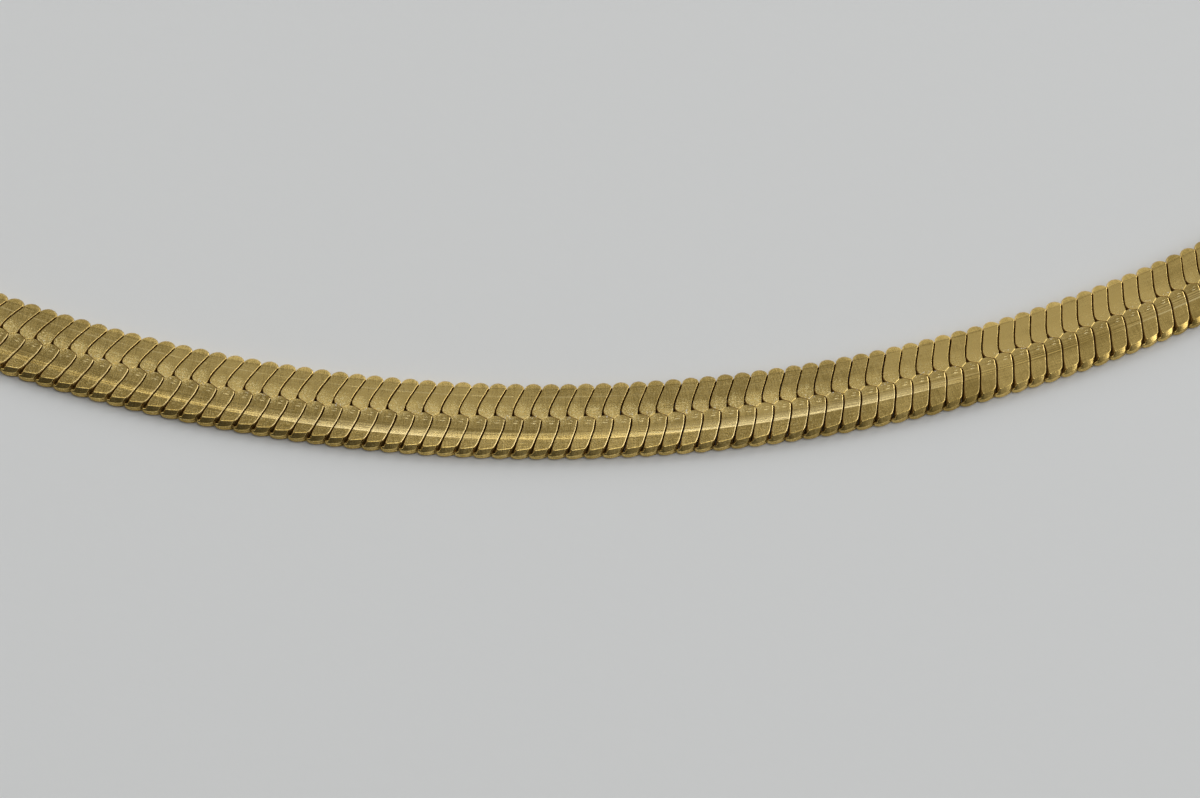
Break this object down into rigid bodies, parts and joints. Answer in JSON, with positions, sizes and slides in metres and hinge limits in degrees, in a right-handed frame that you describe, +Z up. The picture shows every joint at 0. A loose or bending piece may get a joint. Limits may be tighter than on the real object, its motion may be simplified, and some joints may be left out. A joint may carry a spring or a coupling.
{
  "type": "herringbone chain necklace",
  "caption": "Flat herringbone neck chain laid as a closed loop, with end caps, jump rings and a plain clasp at the back.",
  "frame": {"origin": "centre of the loop's outline, on the surface that the necklace lies on", "axes": "+Z up from the surface, -Y towards the wide front bend, +Y towards the clasp, +X along the closure from the clasp's eye to its bow"},
  "size_m": [0.162, 0.1342, 0.0037],
  "materials": {
    "chain_metal": "polished gold tone, finely scratched, darker in the gaps between links",
    "cap_metal": "polished gold tone",
    "ring_metal": "polished gold tone wire",
    "clasp_metal": "polished gold tone"
  },
  "bodies": {
    "root": {"chain": "chain_metal", "end_cap_left": "cap_metal", "end_cap_right": "cap_metal", "jump_ring_left": "ring_metal", "jump_ring_right": "ring_metal", "clasp": "clasp_metal"}
  },
  "joints": []
}
